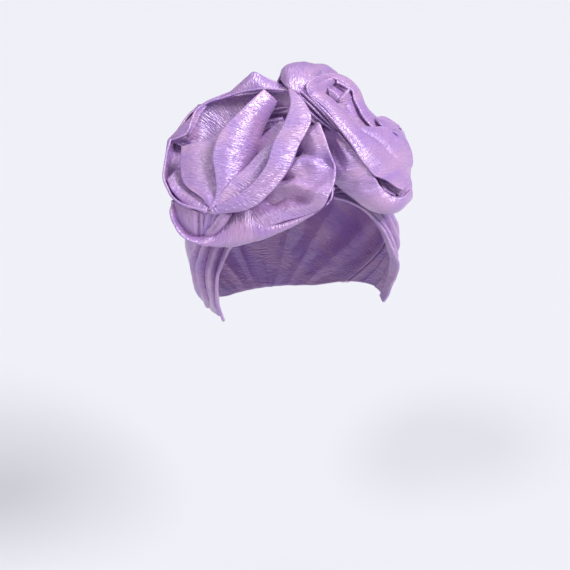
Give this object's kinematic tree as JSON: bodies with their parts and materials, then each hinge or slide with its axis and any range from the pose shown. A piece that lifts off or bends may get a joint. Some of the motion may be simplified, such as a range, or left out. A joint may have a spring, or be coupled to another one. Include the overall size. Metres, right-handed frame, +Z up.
{
  "type": "turban hat",
  "caption": "Pleated satin turban hat, open at the face, with large rolled rosettes over the forehead.",
  "frame": {"origin": "inside of the crown where the top of the head bears on it", "axes": "+Z up along the upright head, -Y the way the face looks, +X the wearer's left"},
  "size_m": [0.1859, 0.2017, 0.2177],
  "materials": {
    "satin": "crushed lilac satin with fine slub streaks"
  },
  "bodies": {
    "root": {"crown": "satin", "left_band": "satin", "right_band": "satin", "left_rosette": "satin", "right_rosette": "satin"}
  },
  "joints": []
}
